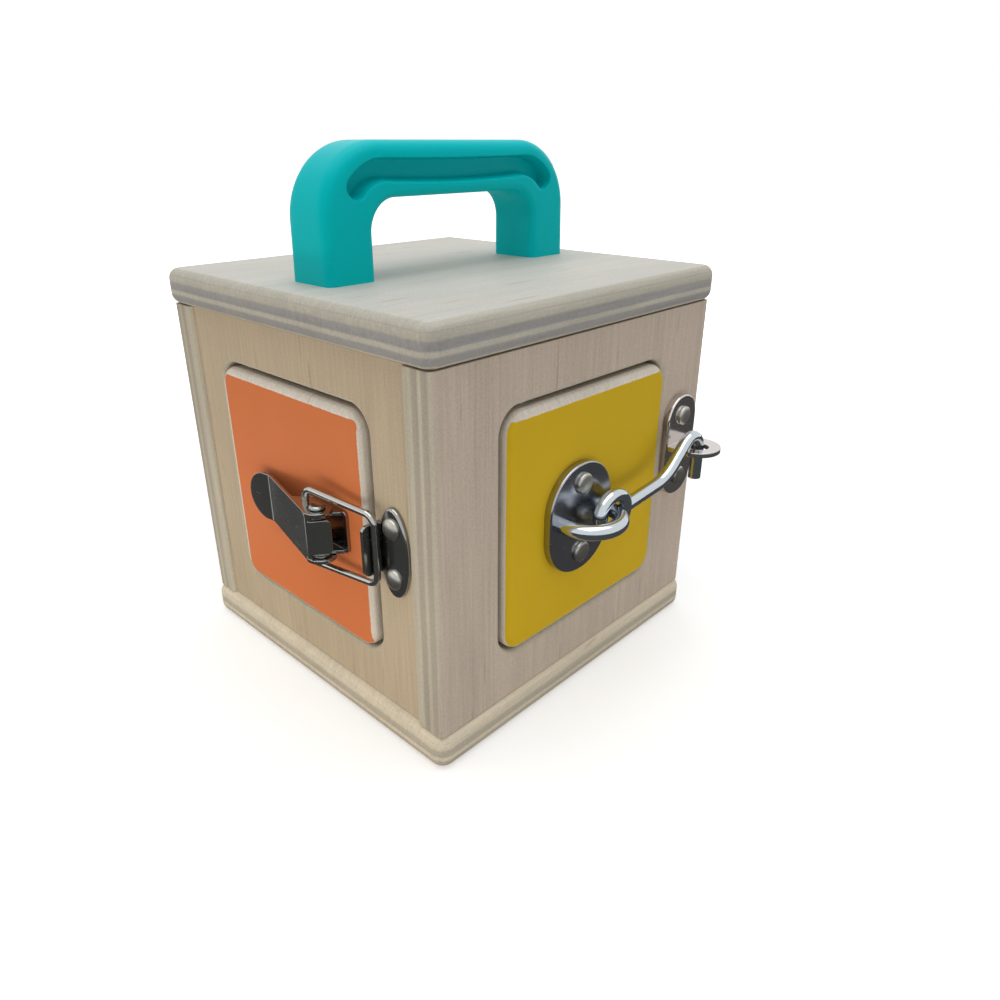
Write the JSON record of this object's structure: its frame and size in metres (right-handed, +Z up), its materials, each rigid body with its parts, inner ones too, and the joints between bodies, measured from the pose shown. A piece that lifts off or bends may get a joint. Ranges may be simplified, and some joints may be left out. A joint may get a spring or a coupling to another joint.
{
  "type": "wooden lock box",
  "caption": "Plywood cube with a carry handle and a small door in each wall, every door held by its own kind of fastening.",
  "frame": {"origin": "centre of the bottom board's underside", "axes": "+Z up, -Y the side with the draw latch, +X the side with the cabin hook"},
  "size_m": [0.1788, 0.1735, 0.1957],
  "materials": {
    "plywood": "satin",
    "dowel_wood": "matte",
    "button_wood": "satin",
    "orange_paint": "satin",
    "yellow_paint": "satin",
    "blue_paint": "satin",
    "green_paint": "satin",
    "teal_plastic": "gloss",
    "black_nickel": "gloss",
    "gunmetal": "satin",
    "bright_steel": "polished",
    "pin_steel": "satin"
  },
  "bodies": {
    "box": {"bottom_board": "plywood", "top_board": "plywood", "front_panel": "plywood", "right_panel": "plywood", "back_panel": "plywood", "left_panel": "plywood", "bottom_dowels": "dowel_wood", "top_dowels": "dowel_wood", "carry_handle": "teal_plastic", "handle_screws": "pin_steel", "catch_plate": "black_nickel", "catch_rivets": "black_nickel", "hook_keeper": "gunmetal", "keeper_rivets": "gunmetal", "bolt_keeper": "bright_steel", "bolt_keeper_rivets": "bright_steel", "button_spacer": "pin_steel", "button_screw": "bright_steel", "front_door_stop": "plywood", "right_door_stop": "plywood", "back_door_stop": "plywood", "left_door_stop": "plywood"},
    "front_door": {"front_door": "orange_paint", "front_door_pins": "pin_steel", "latch_base": "black_nickel", "latch_rivets": "black_nickel", "lever_pin": "black_nickel"},
    "latch_lever": {"latch_lever": "black_nickel"},
    "latch_bail": {"latch_bail": "black_nickel"},
    "right_door": {"right_door": "yellow_paint", "right_door_pins": "pin_steel", "eye_plate": "gunmetal", "eye_rivets": "gunmetal", "eye_staple": "bright_steel"},
    "hook": {"hook": "bright_steel"},
    "back_door": {"back_door": "blue_paint", "back_door_pins": "pin_steel", "bolt_plate": "bright_steel", "bolt_plate_rivets": "bright_steel"},
    "bolt": {"bolt_rod": "bright_steel"},
    "left_door": {"left_door": "green_paint", "left_door_pins": "pin_steel"},
    "turn_button": {"turn_button": "button_wood"}
  },
  "joints": [
    {"name": "front_door_swing", "type": "hinge", "parent": "box", "child": "front_door", "pos_m": [-0.03175, -0.0673, 0.07595], "axis": [0, 0, -1], "range_deg": [0, 105]},
    {"name": "right_door_swing", "type": "hinge", "parent": "box", "child": "right_door", "pos_m": [0.0688, -0.03175, 0.07595], "axis": [0, 0, -1], "range_deg": [0, 105]},
    {"name": "back_door_swing", "type": "hinge", "parent": "box", "child": "back_door", "pos_m": [0.03175, 0.0673, 0.07595], "axis": [0, 0, -1], "range_deg": [0, 105]},
    {"name": "left_door_swing", "type": "hinge", "parent": "box", "child": "left_door", "pos_m": [-0.0688, 0.03175, 0.07595], "axis": [0, 0, -1], "range_deg": [0, 105]},
    {"name": "lever_throw", "type": "hinge", "parent": "front_door", "child": "latch_lever", "pos_m": [0.0242, -0.081, 0.07595], "axis": [0, 0, 1], "range_deg": [0, 105]},
    {"name": "bail_swing", "type": "hinge", "parent": "latch_lever", "child": "latch_bail", "pos_m": [0.0158, -0.0798, 0.07595], "axis": [0, 0, 1], "range_deg": [-110.25, 0]},
    {"name": "hook_lift", "type": "hinge", "parent": "right_door", "child": "hook", "pos_m": [0.0845, 0.0026, 0.07525], "axis": [1, 0, 0], "range_deg": [0, 90]},
    {"name": "bolt_slide", "type": "slide", "parent": "back_door", "child": "bolt", "axis": [-1, 0, 0], "range_m": [0, 0.0125]},
    {"name": "button_turn", "type": "hinge", "parent": "box", "child": "turn_button", "pos_m": [-0.0735, -0.055, 0.07595], "axis": [1, 0, 0], "range_deg": [-90, 90]}
  ],
  "couplings": [
    {"joint": "bail_swing", "follows": "lever_throw", "ratio": -1.05}
  ]
}
